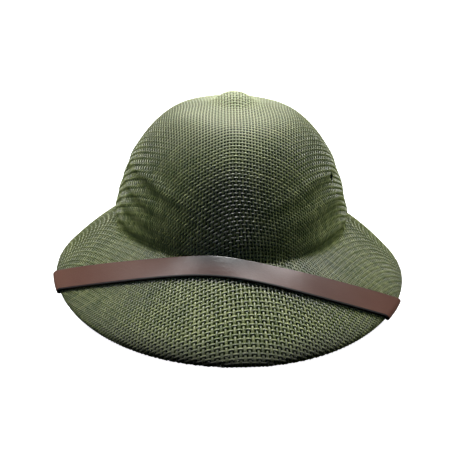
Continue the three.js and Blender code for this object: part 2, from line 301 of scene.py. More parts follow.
def smooth_curve(knots, steps):
    """Curve through knots[0], knots[1] and so on, which may be whole arrays of points.

    Each span blends the lines through four neighbouring knots, at times that grow by the
    square root of the distance between knots, and is sampled `steps` times.
    """
    chain = np.concatenate([2 * knots[:1] - knots[1:2], knots, 2 * knots[-1:] - knots[-2:-1]])
    gaps = np.sqrt(np.linalg.norm(np.diff(chain, axis=0), axis=-1, keepdims=True))
    gaps = np.maximum(gaps, TINY)[:, None]
    first, second, third, fourth = (chain[at:len(chain) - 3 + at, None] for at in range(4))
    time_2 = gaps[:-2]
    time_3 = time_2 + gaps[1:-1]
    time_4 = time_3 + gaps[2:]
    time = lerp(time_2, time_3, (np.arange(steps) / steps).reshape(1, -1, *[1] * (knots.ndim - 1)))
    line_a = lerp(first, second, time / time_2)
    line_b = lerp(second, third, (time - time_2) / (time_3 - time_2))
    line_c = lerp(third, fourth, (time - time_3) / (time_4 - time_3))
    bend_a = lerp(line_a, line_b, time / time_3)
    bend_b = lerp(line_b, line_c, (time - time_2) / (time_4 - time_2))
    spans = lerp(bend_a, bend_b, (time - time_2) / (time_3 - time_2))
    return np.concatenate([spans.reshape(-1, *knots.shape[1:]), knots[-1:]])


# The shell's form

def oval_point(half, front, back, azimuth, height):
    """Point of an egg-shaped section: half an ellipse to the front and another to the back."""
    reach = np.where(np.cos(azimuth) >= 0, front, back)
    across, along, height = np.broadcast_arrays(half * np.sin(azimuth), -reach * np.cos(azimuth), height)
    return np.stack([across, along, height], -1)


def fold_swell(azimuth, rise):
    """How far the folds swell the crown: each adds a bell curve in height about its crest line."""
    across = np.sin(azimuth)
    off_end = np.degrees(np.arcsin(np.abs(across)))
    swell = 0
    for side, side_rise, end_rise, height, spread, fade_from, fade_to in FOLDS:
        settled = smoothstep(off_end, fade_from, fade_to + FOLD_SETTLE)
        crest = lerp(end_rise, side_rise, settled) * MM
        strength = smoothstep(off_end, fade_from, fade_to) * (side * across > 0)
        swell = swell + height * MM * strength * np.exp(-(((rise - crest) / (spread * MM)) ** 2))
    return swell * lerp(1, FOLD_SIDE_SHARE, smoothstep(off_end, FOLD_SIDE_FROM, FOLD_SIDE_TO))


def brim_point(form, azimuth, out):
    """Point of the brim's upper face and hem.

    From out 0 at the crease to 1 it goes straight out, falling by a mix of a line and a
    parabola. From 1 to 2 it goes half a turn round the hem's circle.
    """
    azimuth, out = np.broadcast_arrays(azimuth, out)
    crease = oval_point(*CROWN_SECTIONS[-1, :3], azimuth, form.crease_height)
    rim_height = form.side_lift * np.abs(np.sin(azimuth)) ** SIDE_LIFT_POWER - HEM_PRESS + form.hem_radius
    rim = oval_point(form.brim_half_width, form.brim_reach, form.brim_reach, azimuth, rim_height)
    outward = unit((rim - crease) * (1 - UP))

    def roll(turned):
        level = form.hem_radius * (np.sin(turned) - 1)
        return rim + outward * level[..., None] + UP * (form.hem_radius * np.cos(turned))[..., None]

    start = roll(np.full_like(out, HEM_START))
    share = np.minimum(out, 1)[..., None]
    fall = lerp(share, share * share, BRIM_DROOP)
    slope = lerp(crease, start, np.where(UP > 0, fall, share))
    return np.where(out[..., None] > 1, roll(HEM_START + np.maximum(out - 1, 0) * HEM_TURN), slope)


def brim_normal(form, azimuth, out):
    """Outward normal of the brim: the slope outward crossed with the slope round it."""
    along = brim_point(form, azimuth + SLOPE_STEP, out) - brim_point(form, azimuth - SLOPE_STEP, out)
    down = brim_point(form, azimuth, out + SLOPE_STEP) - brim_point(form, azimuth, out - SLOPE_STEP)
    return unit(np.cross(down, along))


def even_rows(points, step):
    """Rows set at even mean distances down the meridians, and those distances."""
    reach = travelled(points).mean(axis=1)
    wanted = np.linspace(0, reach[-1], math.ceil(reach[-1] / step) + 1)
    place = np.interp(wanted, reach, np.arange(len(points)))
    low = np.minimum(place.astype(int), len(points) - 2)
    return lerp(points[low], points[low + 1], (place - low)[:, None, None]), wanted


class Skin:
    """Table of an outer face: rows go down from the knob, columns go once round it.

    A place on it is a point of a plane, whose distance from the middle is the mean distance
    down the meridians and whose direction is the azimuth. The crease and the start of the hem are
    such distances.
    """

    def __init__(self, points, reach, crease, hem_start):
        self.points, self.reach = points, reach
        self.crease, self.hem_start = crease, hem_start
        down = np.gradient(points, axis=0)
        ring = points[:, :-1]
        along = np.roll(ring, -1, axis=1) - np.roll(ring, 1, axis=1)
        normals = unit(np.cross(down[:, :-1], along))
        normals[0] = UP
        self.normals = np.concatenate([normals, normals[:, :1]], axis=1)

    def read(self, table, plane):
        """Values of a table at these places."""
        distance, azimuth = polar(plane)
        row = np.interp(distance, self.reach, np.arange(len(table)))
        column = azimuth % FULL_TURN / FULL_TURN * (table.shape[1] - 1)
        return blend_cells(table, row, column)

    def at(self, plane):
        """Points of the face at these places."""
        return self.read(self.points, plane)

    def facing(self, plane):
        """Outward normals of the face at these places."""
        return unit(self.read(self.normals, plane))


def shell_skins(form):
    """The mould that the cloth is laid over, and the finished outer face with its folds and hem.

    The mould has no folds, and its brim runs straight on past the hem. Both share their rows
    as far as the hem, so that a place on one is the same place on the other.
    """
    azimuth = np.linspace(0, FULL_TURN, AZIMUTHS + 1)
    knots = np.stack([
        oval_point(half, front, back, azimuth, form.crease_height + rise)
        for half, front, back, rise in CROWN_SECTIONS])
    crown, crown_reach = even_rows(smooth_curve(knots, CURVE_STEPS), ROW_STEP)
    out = np.linspace(0, 1, SLOPE_ROWS + 1)[:, None]
    slope, slope_reach = even_rows(brim_point(form, azimuth, out), ROW_STEP)
    swell = fold_swell(azimuth, crown[..., 2] - form.crease_height)
    folded = crown + swell[..., None] * level_heading(azimuth)
    reach = np.concatenate([crown_reach, crown_reach[-1] + slope_reach[1:]])

    spare = np.linspace(0, NET_SPARE, int(NET_SPARE / MM) + 1)[1:]
    onward = slope[-1] + spare[:, None, None] * unit(slope[-1] - slope[-2])

    turned = np.linspace(HEM_START, HEM_END + HEM_SPARE, HEM_ROWS + 1)[1:]
    hem = brim_point(form, azimuth, 1 + (turned[:, None] - HEM_START) / HEM_TURN)
    hem_reach = reach[-1] + (turned - HEM_START) * form.hem_radius
    marks = crown_reach[-1], reach[-1]
    mould_reach = np.concatenate([reach, reach[-1] + spare])
    face_reach = np.concatenate([reach, hem_reach])
    mould = Skin(np.concatenate([crown, slope[1:], onward]), mould_reach, *marks)
    face = Skin(np.concatenate([folded, slope[1:], hem]), face_reach, *marks)
    return mould, face


# The draped cloth

# Corrections of each new crossing: passes, step for slopes, longest move, and least area spanned by the
# two slopes
NET_PASSES = 6
NET_STEP = 0.2 * MM
NET_LONGEST = 1.5 * MM
LEAST_SPREAD = 0.02
# Samples along the first two threads, and the smoothing of the whole net
AXIS_SAMPLES = 4000
SMOOTH_PASSES = 25
SMOOTH_SHARE = 0.7

# How pressing skewed and stretched the cloth, along the cloth's own rows and columns
KINK_SIDE, KINK_SOFT = -6 * MM, 3 * MM
SKEW, SKEW_REACH = 0.25, 80 * MM
SKEW_LEFT, SKEW_RIGHT = (-60 * MM, 40 * MM), (85 * MM, 185 * MM)
ROW_SPREAD, ROW_SPREAD_REACH = (-0.03, 0.0), (100 * MM, 180 * MM)
COLUMN_SPREAD, COLUMN_SPREAD_REACH = (-0.03, 0.06), (60 * MM, 180 * MM)
DRIFT, DRIFT_REACH, DRIFT_POWER = 5 * MM, (60 * MM, 180 * MM), 3

# How many rows and columns slip along the crease: the rows slant, and the columns pull to the sides
SLIP_FROM = 95 * MM
SLIP_PASSES = 5
CREASE_ROW_SLANT, CREASE_COLUMN_PULL = 3, 2
# Rows and columns counted from the knob to the start of the hem, how many of them the brim slants,
# and how many columns crowd in between the front and the sides
FRONT_ROWS, BACK_ROWS, SIDE_COLUMNS = 76, 78, 74
BRIM_ROW_SLANT, BRIM_COLUMN_SLANT, BRIM_CROWDING = 8, 4, 8
BRIM_RAYS = 240


def axis_places(skin, azimuth, pitch, count):
    """Places along one meridian at equal distances on the skin."""
    line = np.linspace(0, skin.reach[-1], AXIS_SAMPLES)
    distance = travelled(skin.at(line[:, None] * heading(azimuth)))
    wanted = np.arange(count) * pitch
    beyond = np.maximum(wanted - distance[-1], 0)
    return (np.interp(wanted, distance, line) + beyond)[:, None] * heading(azimuth)


def close_net(skin, guess, above, beside, row_pitch, column_pitch):
    """Places at one row pitch from the places above and one column pitch from those beside.

    The two distances are brought to their pitches by a few straight-line corrections.
    """
    point_above, point_beside = skin.at(above), skin.at(beside)
    place = guess
    for _ in range(NET_PASSES):
        point = skin.at(place)
        slope_u = (skin.at(place + [NET_STEP, 0]) - point) / NET_STEP
        slope_v = (skin.at(place + [0, NET_STEP]) - point) / NET_STEP
        to_above, to_beside = point - point_above, point - point_beside
        over_row = np.linalg.norm(to_above, axis=-1) - row_pitch
        over_column = np.linalg.norm(to_beside, axis=-1) - column_pitch
        to_above, to_beside = unit(to_above), unit(to_beside)
        row_u, row_v = (to_above * slope_u).sum(-1), (to_above * slope_v).sum(-1)
        column_u, column_v = (to_beside * slope_u).sum(-1), (to_beside * slope_v).sum(-1)
        spread = row_u * column_v - row_v * column_u
        spread = np.copysign(np.maximum(np.abs(spread), LEAST_SPREAD), spread)
        move = np.stack([
            (over_row * column_v - over_column * row_v) / spread,
            (over_column * row_u - over_row * column_u) / spread], -1)
        far = np.linalg.norm(move, axis=-1, keepdims=True)
        place = place - move * np.minimum(1, NET_LONGEST / np.maximum(far, TINY))
    return place


def drape_cloth(skin, weave):
    """Places of the cloth's crossings, rows by columns, positive to the front and to +X.

    Four quarters grow from the two threads that cross on the knob: each new crossing closes a
    four-sided mesh whose sides keep their length, one diagonal of crossings at a time. The
    crossings are then smoothed with their neighbours, and settle as the cloth is pressed.
    """
    limit = skin.reach[-1]
    rows = math.ceil(limit / weave.row_pitch)
    columns = math.ceil(limit / weave.column_pitch)
    front_signs, side_signs = np.array([1, 1, -1, -1]), np.array([1, -1, 1, -1])
    quarters = np.zeros((4, rows, columns, 2))
    for quarter in range(4):
        front = weave.turn + (0 if front_signs[quarter] > 0 else math.pi)
        side = weave.turn + side_signs[quarter] * math.pi / 2
        quarters[quarter, :, 0] = axis_places(skin, front, weave.row_pitch, rows)
        quarters[quarter, 0, :] = axis_places(skin, side, weave.column_pitch, columns)
    for diagonal in range(2, rows + columns - 1):
        row = np.arange(max(1, diagonal - columns + 1), min(rows - 1, diagonal - 1) + 1)
        column = diagonal - row
        above, beside = quarters[:, row - 1, column], quarters[:, row, column - 1]
        guess = above + beside - quarters[:, row - 1, column - 1]
        closed = close_net(skin, guess, above, beside, weave.row_pitch, weave.column_pitch)
        outside = polar(guess)[0] > limit - weave.row_pitch
        quarters[:, row, column] = np.where(outside[..., None], guess, closed)

    whole = np.zeros((2 * rows - 1, 2 * columns - 1, 2))
    for quarter, (front, side) in enumerate(zip(front_signs, side_signs)):
        whole[rows - 1::front, columns - 1::side] = quarters[quarter]
    for _ in range(SMOOTH_PASSES):
        mean = (whole[:-2, 1:-1] + whole[2:, 1:-1] + whole[1:-1, :-2] + whole[1:-1, 2:]) / 4
        whole[1:-1, 1:-1] = lerp(whole[1:-1, 1:-1], mean, SMOOTH_SHARE)
    return press_brim(settle_cloth(whole, weave), skin)


def settle_cloth(net, weave):
    """Places of the crossings once pressing has skewed and stretched the net.

    Each crossing moves to the place that another, fractional crossing had in the plain net. Rows
    drop to the left of a line down the front, and to its right only near the brim. Both families
    spread towards the brim, and the columns drift to the right.
    """
    rows, columns = net.shape[:2]
    row, column = np.indices((rows, columns)).astype(float)
    forward = (row - (rows - 1) / 2) * weave.row_pitch
    aside = (column - (columns - 1) / 2) * weave.column_pitch
    from_kink = aside - KINK_SIDE
    ramp = SKEW_REACH * np.tanh(from_kink / SKEW_REACH)
    soft = np.hypot(ramp, KINK_SOFT)
    left, right = (soft - ramp) / 2, (soft + ramp) / 2
    drop = SKEW * (left * smoothstep(forward, *SKEW_LEFT) - right * smoothstep(forward, *SKEW_RIGHT))
    distance = np.hypot(forward, aside)
    stretch = np.interp(distance, ROW_SPREAD_REACH, ROW_SPREAD)
    fan = np.interp(distance, COLUMN_SPREAD_REACH, COLUMN_SPREAD)
    drift = DRIFT * np.interp(forward, DRIFT_REACH, (0, 1)) ** DRIFT_POWER
    row = row + (drop + forward * stretch) / weave.row_pitch
    column = column + (aside * fan + drift) / weave.column_pitch
    return blend_cells(net, row, column)


def count_at(net, places):
    """Counts of rows and columns at places on the net: the nearest crossing and a straight step."""
    rows, columns = net.shape[:2]
    flat = net.reshape(-1, 2)
    nearest = np.array([((flat - place) ** 2).sum(-1).argmin() for place in places])
    down = np.gradient(net, axis=0).reshape(-1, 2)[nearest]
    across = np.gradient(net, axis=1).reshape(-1, 2)[nearest]
    off = places - flat[nearest]
    spread = area(down, across)
    row = nearest // columns + area(off, across) / spread
    column = nearest % columns + area(down, off) / spread
    return np.stack([row - (rows - 1) / 2, column - (columns - 1) / 2], -1)


def crease_slip(azimuth):
    """Rows and columns that slip past the crease: rows by a sine of the azimuth, and columns by a
    sine of twice the azimuth."""
    return np.stack([
        CREASE_ROW_SLANT * np.sin(azimuth), -CREASE_COLUMN_PULL * np.sin(2 * azimuth)], -1)


def hem_counts(azimuth):
    """Rows and columns at the start of the hem, counted from the knob.

    Even cloth has a cosine of rows and a sine of columns. A slant adds a share of the other, and
    crowding adds a sine of three times the azimuth.
    """
    front, side = np.cos(azimuth), np.sin(azimuth)
    rows = np.where(front > 0, FRONT_ROWS, BACK_ROWS) * front + BRIM_ROW_SLANT * side
    columns = (SIDE_COLUMNS - BRIM_CROWDING) * side - BRIM_CROWDING * np.sin(3 * azimuth)
    return np.stack([rows, columns - BRIM_COLUMN_SLANT * front], -1)


def press_brim(net, skin):
    """Places of the crossings once the brim is ironed flat.

    Low on the crown the strands slip along, as far as the slip at the crease. Going straight out
    from the crease to the hem, the counts of rows and columns then grow evenly to those at the
    hem. So on the brim every azimuth is a straight ray in the plane of the counts, and a crossing
    lies where the nearest ray passes through its own counts.
    """
    row, column = np.indices(net.shape[:2])
    slipped = net
    for _ in range(SLIP_PASSES):
        reach, turned = polar(slipped)
        slip = crease_slip(turned) * smoothstep(reach, SLIP_FROM, skin.crease)[..., None]
        slipped = blend_cells(net, row - slip[..., 0], column - slip[..., 1])

    azimuth = np.linspace(0, FULL_TURN, BRIM_RAYS + 1)
    start = count_at(net, skin.crease * heading(azimuth)) + crease_slip(azimuth)
    ray = hem_counts(azimuth) - start
    reach, turned = polar(slipped)
    outside = reach > skin.crease
    counts = np.stack(np.nonzero(outside), -1) - (np.array(net.shape[:2]) - 1) / 2
    offset = counts[:, None] - start
    miss = area(ray, offset)
    share_out = np.maximum((offset * ray).sum(-1) / (ray * ray).sum(-1), 0)
    away = np.abs((azimuth[:-1] - turned[outside][:, None] + np.pi) % FULL_TURN - np.pi)
    low = np.where(miss[:, :-1] * miss[:, 1:] <= 0, away, FULL_TURN).argmin(axis=1)
    each = np.arange(len(low))
    gap = miss[each, low] - miss[each, low + 1]
    share = np.clip(miss[each, low] / np.where(gap == 0, 1, gap), 0, 1)
    out = lerp(share_out[each, low], share_out[each, low + 1], share)
    way = heading(lerp(azimuth[low], azimuth[low + 1], share))
    pressed = slipped.copy()
    pressed[outside] = lerp(skin.crease, skin.hem_start, out)[:, None] * way
    return pressed


# Meshes

def new_piece(name, points, quads, triangles=(), *, slot, materials, maps=None, values=None):
    """Mesh object from arrays: quads first, then triangles, smooth, riding on the helmet.

    maps holds UV maps by name, one row for each face corner, and values holds numbers by name, one
    for each point.
    """
    quads = np.asarray(quads, int).reshape(-1, 4)
    triangles = np.asarray(triangles, int).reshape(-1, 3)
    mesh = bpy.data.meshes.new(name)
    mesh.vertices.add(len(points))
    mesh.vertices.foreach_set("co", np.asarray(points, float).ravel())
    mesh.loops.add(quads.size + triangles.size)
    mesh.loops.foreach_set("vertex_index", np.concatenate([quads.ravel(), triangles.ravel()]))
    mesh.polygons.add(len(quads) + len(triangles))
    starts = np.concatenate([4 * np.arange(len(quads)), quads.size + 3 * np.arange(len(triangles))])
    mesh.polygons.foreach_set("loop_start", starts)
    mesh.polygons.foreach_set("use_smooth", np.ones(len(starts), bool))
    mesh.update(calc_edges=True)
    for map_name, corners in (maps or {}).items():
        mesh.uv_layers.new(name=map_name).uv.foreach_set("vector", np.asarray(corners, float).ravel())
    for value_name, numbers in (values or {}).items():
        mesh.attributes.new(value_name, "FLOAT", "POINT").data.foreach_set(
            "value", np.asarray(numbers, float).ravel())
    for material in materials:
        mesh.materials.append(material)
    if mesh.validate():
        raise RuntimeError(f"{name} has faces that Blender can't use")
    piece = bpy.data.objects.new(name, mesh)
    bpy.context.scene.collection.objects.link(piece)
    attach(piece, "root")
    return piece


def closed_rings(rings, first, last):
    """Points, quads and triangles of rings joined one to the next, with a fan to a first and to a
    last point."""
    rows, columns = rings.shape[:2]
    points = np.concatenate([rings.reshape(-1, 3), [first, last]])
    here = np.arange(rows * columns).reshape(rows, columns)
    beside = np.roll(here, -1, axis=1)
    quads = np.stack([here[:-1], here[1:], beside[1:], beside[:-1]], -1).reshape(-1, 4)
    first_fan = np.stack([np.full(columns, len(points) - 2), here[0], beside[0]], -1)
    last_fan = np.stack([np.full(columns, len(points) - 1), beside[-1], here[-1]], -1)
    return points, quads, np.concatenate([first_fan, last_fan])


# Materials

def add(tree, kind, inputs, output=0, **settings):
    """Adds a node, sets it, fills its sockets with numbers or links, and gives one of its outputs."""
    node = tree.nodes.new(kind)
    for key, value in settings.items():
        setattr(node, key, value)
    for socket, value in inputs.items():
        if isinstance(value, bpy.types.NodeSocket):
            tree.links.new(value, node.inputs[socket])
        else:
            node.inputs[socket].default_value = value
    return node.outputs[output] if node.outputs else None


def new_material(name):
    """Empty node material and its tree."""
    material = bpy.data.materials.new(name)
    material.use_nodes = True
    material.node_tree.nodes.clear()
    return material, material.node_tree


def finish_material(tree, inputs):
    """Principled shader with these sockets, linked to the output."""
    shader = add(tree, "ShaderNodeBsdfPrincipled", inputs)
    add(tree, "ShaderNodeOutputMaterial", {"Surface": shader})


def opaque(rgb, share=1):
    """Colour of a socket: the colour made brighter or darker by a share, with nothing see-through."""
    return (*(channel * share for channel in rgb), 1.0)


PATCH_SIZE = 18 * MM
FIBRE_SIZE = 0.5 * MM
# Wear of the dye, with painted light on the crests and painted shade in the dips: its start, and how much
# the crest, the strand's own tint and the patches each add
WEAR_AND_SHADE_START = -0.19
CREST_WEAR_AND_SHADE, TINT_WEAR, PATCH_WEAR = 0.45, 0.3, 0.5
# The backing's paler mottle, in its near-black colour that is painted shade between the strands, and the
# pattern inside: weight of its ridges, where its gaps begin and the painted shade that darkens them
MOTTLE_SHARE = 1.6
RIDGE_WEIGHT, GAP_LEVEL, GAP_SHADE = 0.75, 0.3, 0.25


def lacquered_straw(weave):
    """Paper straw, dyed, twisted into yarn, woven and lacquered.

    The lacquer gives each strand a soft highlight along its crest. The dye is unequal from
    strand to strand. It is paler on the crests, partly rubbed and partly painted light, and darker
    where strands dip under, as painted shade. The hem is darkened towards its roll as painted shade,
    and the twist shows as fine slanting ridges, drawn coarser than the real ones so that they show.
    The crown's top is paler, partly bleached by the sun and partly painted light.
    """
    material, tree = new_material("lacquered_paper_straw")
    tint, crest, bleach_and_top_light, hem_shade = (
        add(tree, "ShaderNodeAttribute", {}, "Fac", attribute_name=value_name)
        for value_name in ("tint", "crest", "bleach_and_top_light", "hem_shade"))
    place = add(tree, "ShaderNodeTexCoord", {}, "Object")
    patches = add(tree, "ShaderNodeTexNoise", {"Vector": place, "Scale": 1 / PATCH_SIZE, "Detail": 3.0})
    wear_and_shade = WEAR_AND_SHADE_START
    for cause, weight in ((crest, CREST_WEAR_AND_SHADE), (tint, TINT_WEAR), (patches, PATCH_WEAR)):
        wear_and_shade = add(tree, "ShaderNodeMath", {0: cause, 1: weight, 2: wear_and_shade}, operation="MULTIPLY_ADD")
    wear_and_shade.node.use_clamp = True
    bleach_and_top_light = add(tree, "ShaderNodeMath", {0: bleach_and_top_light, 1: crest}, operation="MULTIPLY")
    straw = opaque(weave.dye)
    for share, tone in ((wear_and_shade, weave.worn_and_lit), (bleach_and_top_light, weave.bleached_and_lit), (hem_shade, weave.hem_shade_tone)):
        straw = add(tree, "ShaderNodeMixRGB", {"Fac": share, "Color1": straw, "Color2": opaque(tone)})
    twist = add(tree, "ShaderNodeUVMap", {}, uv_map="Twist")
    ridges = add(tree, "ShaderNodeTexWave", {
        "Vector": twist, "Scale": 0.5, "Distortion": 1.5, "Detail": 2.0}, "Fac", bands_direction="DIAGONAL")
    fibres = add(tree, "ShaderNodeTexNoise", {"Vector": place, "Scale": 1 / FIBRE_SIZE, "Detail": 2.0})
    relief = add(tree, "ShaderNodeMath", {0: ridges, 1: fibres}, operation="ADD")
    bump = add(tree, "ShaderNodeBump", {"Height": relief, "Strength": 0.35, "Distance": 0.1 * MM})
    rough = add(tree, "ShaderNodeMapRange", {"Value": hem_shade, "To Min": 0.42, "To Max": 0.95})
    finish_material(tree, {
        "Base Color": straw, "Roughness": rough, "IOR": 1.55, "Specular IOR Level": 0.7, "Normal": bump})
    return material


def gap_shade_backing(form):
    """Stiffener brushed into the back of the cloth, seen only in the gaps between strands, coloured near
    black as painted shade.
    """
    material, tree = new_material("painted_gap_shade_backing")
    place = add(tree, "ShaderNodeTexCoord", {}, "Object")
    mottle = add(tree, "ShaderNodeTexNoise", {"Vector": place, "Scale": 1 / PATCH_SIZE})
    dark = add(tree, "ShaderNodeMixRGB", {
        "Fac": mottle, "Color1": opaque(form.gap_shade), "Color2": opaque(form.gap_shade, MOTTLE_SHARE)})
    finish_material(tree, {"Base Color": dark, "Roughness": 0.9, "Specular IOR Level": 0.1})
    return material


def straw_inside(form):
    """Underside of the woven straw, flattened by the stiffener: the plain weave shows as a low
    relief of crossing strands, with painted shade darkening the gaps, drawn on the cloth's own rows and
    columns."""
    material, tree = new_material("stiffened_straw_inside")
    cloth = add(tree, "ShaderNodeUVMap", {}, uv_map="Cloth")
    ridge = 1.0
    for axis in ("X", "Y"):
        count = add(tree, "ShaderNodeSeparateXYZ", {0: cloth}, axis)
        phase = add(tree, "ShaderNodeMath", {0: count, 1: math.pi}, operation="MULTIPLY")
        wave = add(tree, "ShaderNodeMath", {0: phase}, operation="SINE")
        ridge = add(tree, "ShaderNodeMath", {0: wave, 1: ridge}, operation="MULTIPLY")
    ridge = add(tree, "ShaderNodeMath", {0: ridge}, operation="ABSOLUTE")
    place = add(tree, "ShaderNodeTexCoord", {}, "Object")
    mottle = add(tree, "ShaderNodeTexNoise", {"Vector": place, "Scale": 1 / PATCH_SIZE, "Detail": 3.0})
    level = add(tree, "ShaderNodeMath", {0: ridge, 1: RIDGE_WEIGHT, 2: mottle}, operation="MULTIPLY_ADD")
    # Painted shade: the gaps of the inside pattern are darkened to a share of the inside colour
    shade = add(tree, "ShaderNodeMath", {0: level, 1: GAP_LEVEL}, operation="SUBTRACT", use_clamp=True)
    straw = add(tree, "ShaderNodeMixRGB", {
        "Fac": shade, "Color1": opaque(form.inside, GAP_SHADE), "Color2": opaque(form.inside)})
    bump = add(tree, "ShaderNodeBump", {"Height": ridge, "Strength": 0.8, "Distance": 0.5 * MM})
    finish_material(tree, {"Base Color": straw, "Roughness": 0.75, "Normal": bump})
    return material


GRAIN_SIZE = 1.6 * MM
PORE_SIZE = 0.8 * MM
STAIN_SIZE = 30 * MM
EDGE_ROUGHENING = 0.4


def strap_leather(strap):
    """Vegetable-tanned strap leather, dyed brown, rolled smooth and waxed, with dyed edges.

    The wax gives a broad satin highlight, the hide's grain breaks it up finely, and handling
    has left paler stains.
    """
    material, tree = new_material("waxed_strap_leather")
    place = add(tree, "ShaderNodeTexCoord", {}, "Object")
    stain = add(tree, "ShaderNodeTexNoise", {"Vector": place, "Scale": 1 / STAIN_SIZE, "Detail": 4.0})
    crown_shade, edge = (
        add(tree, "ShaderNodeAttribute", {}, "Fac", attribute_name=value_name)
        for value_name in ("crown_shade", "edge_dye_and_shadow"))
    hide = opaque(strap.leather)
    # The stains are the leather's own; the crown shade along the uphill edge is painted shade
    for share, tone in ((stain, strap.leather_worn), (crown_shade, strap.crown_shade), (edge, strap.edge)):
        hide = add(tree, "ShaderNodeMixRGB", {"Fac": share, "Color1": hide, "Color2": opaque(tone)})
    grain = add(tree, "ShaderNodeTexVoronoi", {
        "Vector": place, "Scale": 1 / GRAIN_SIZE}, feature="SMOOTH_F1")
    pores = add(tree, "ShaderNodeTexNoise", {"Vector": place, "Scale": 1 / PORE_SIZE, "Detail": 3.0})
    relief = add(tree, "ShaderNodeMath", {0: grain, 1: pores}, operation="ADD")
    bump = add(tree, "ShaderNodeBump", {"Height": relief, "Strength": 0.35, "Distance": 0.12 * MM})
    wax = add(tree, "ShaderNodeMapRange", {"Value": stain, "To Min": 0.27, "To Max": 0.33})
    rough = add(tree, "ShaderNodeMath", {0: edge, 1: EDGE_ROUGHENING, 2: wax}, operation="MULTIPLY_ADD")
    finish_material(tree, {
        "Base Color": hide, "Roughness": rough, "IOR": 1.5, "Specular IOR Level": 0.4, "Normal": bump})
    return material


TARNISH_SIZE = 3 * MM
TARNISH_SHARE = 0.45


def dull_brass(strap):
    """Turned and tumbled brass, tarnished by handling: a soft metal gloss with duller clouds."""
    material, tree = new_material("tumbled_brass")
    place = add(tree, "ShaderNodeTexCoord", {}, "Object")
    tarnish = add(tree, "ShaderNodeTexNoise", {"Vector": place, "Scale": 1 / TARNISH_SIZE, "Detail": 4.0})
    metal = add(tree, "ShaderNodeMixRGB", {
        "Fac": tarnish, "Color1": opaque(strap.brass), "Color2": opaque(strap.brass, TARNISH_SHARE)})
    rough = add(tree, "ShaderNodeMapRange", {"Value": tarnish, "To Min": 0.25, "To Max": 0.5})
    finish_material(tree, {"Base Color": metal, "Roughness": rough, "Metallic": 1.0})
    return material


# Shell backing

BACKING_ROWS = 110
BACKING_HEM_ROWS = 13
BACKING_COLUMNS = 200
VENT_SIDES = 24


def backing_surface(face, form, weave):
    """Closed wall between two depths below the outer face.

    Rings go down the outer side from the knob to the end of the hem and back up the inner side. The
    map for the pattern inside counts the cloth's own rows and columns.
    """
    slope = np.linspace(0, face.hem_start, BACKING_ROWS)
    hem = face.hem_start + np.linspace(0, HEM_END - HEM_START, BACKING_HEM_ROWS + 1) * form.hem_radius
    reach = np.concatenate([slope[1:], hem[1:]])
    azimuth = np.arange(BACKING_COLUMNS) / BACKING_COLUMNS * FULL_TURN
    plane = reach[:, None, None] * heading(azimuth)
    points, normals = face.at(plane), face.facing(plane)
    outer = points - BACKING_DEPTH * normals
    inner = points - form.wall * normals
    top = face.points[0, 0]
    wall = closed_rings(
        np.concatenate([outer, inner[::-1]]), top - BACKING_DEPTH * UP, top - form.wall * UP)
    _, quads, triangles = wall
    pitch = np.array([weave.column_pitch, weave.row_pitch])
    counts = reach[:, None, None] * heading(azimuth - weave.turn)[:, ::-1] / pitch
    counts = np.concatenate([counts.reshape(-1, 2), counts[::-1].reshape(-1, 2), np.zeros((2, 2))])
    return wall, counts[np.concatenate([quads.ravel(), triangles.ravel()])], len(reach)


def vent_axes(form):
    """Middle point and level direction of each vent's bore."""
    return [(UP * (form.crease_height + rise), level_heading(azimuth)) for azimuth, rise in VENTS]


def drill_vents(piece, form):
    """Cuts each vent through the wall with a round bar that lies along the vent's axis."""
    turn = np.arange(VENT_SIDES)[:, None] / VENT_SIDES * FULL_TURN
    cutters = []
    for middle, way in vent_axes(form):
        ring = middle + VENT_RADIUS * (np.cos(turn) * np.cross(way, UP) + np.sin(turn) * UP)
        bar = np.stack([ring + VENT_FROM * way, ring + VENT_TO * way])
        points, quads, triangles = closed_rings(bar, *bar.mean(axis=1))
        mesh = bpy.data.meshes.new("vent_cutter")
        mesh.from_pydata(points.tolist(), [], quads.tolist() + triangles.tolist())
        cutter = bpy.data.objects.new("vent_cutter", mesh)
        bpy.context.scene.collection.objects.link(cutter)
        cutters.append(cutter)
        cut = piece.modifiers.new("vent", "BOOLEAN")
        cut.operation, cut.solver, cut.object = "DIFFERENCE", "EXACT", cutter
    drilled = piece.evaluated_get(bpy.context.evaluated_depsgraph_get())
    plain = piece.data
    piece.data = bpy.data.meshes.new_from_object(drilled)
    piece.modifiers.clear()
    for spare in (plain, *(cutter.data for cutter in cutters)):
        bpy.data.meshes.remove(spare)


class HELMET_OT_shell(bpy.types.Operator):
    """Build the wall behind the weave, with its vents"""
    bl_idname = "helmet.shell"
    bl_label = "Shell wall"

    def execute(self, context):
        form, weave = context.scene.helmet_shell, context.scene.helmet_weave
        _, face = shell_skins(form)
        wall, counts, outer_rows = backing_surface(face, form, weave)
        piece = new_piece(
            "shell_wall", *wall, slot="straw", maps={"Cloth": counts},
            materials=[gap_shade_backing(form), straw_inside(form)])
        inner = np.zeros(len(piece.data.polygons), int)
        inner[(outer_rows - 1) * BACKING_COLUMNS:-2 * BACKING_COLUMNS] = 1
        inner[-BACKING_COLUMNS:] = 1
        piece.data.polygons.foreach_set("material_index", inner)
        drill_vents(piece, form)
        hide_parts("shell")
        return {"FINISHED"}


# Woven strands

# Strand width as a share of the spacing: open at the front, narrow on the crown's top and closed up
# at the brim's sides. On the top and at the sides the strands are flattened too. Reaches are
# distances from the knob and sides are sines of the azimuth, from where a change begins to where it
# is full.
OPEN_SHARE, CLOSED_SHARE = 0.68, 0.92
TOP_SHARES = {"columns": 0.36, "rows": 0.52}
TOP_FLAT_SHARE, CLOSED_FLAT_SHARE = 0.5, 0.55
TOP_REACH, KNOB_REACH = (110 * MM, 60 * MM), (10 * MM, 30 * MM)
CLOSED_SIDE = (0.45, 0.95)
CLOSED_REACH = (100 * MM, 150 * MM)
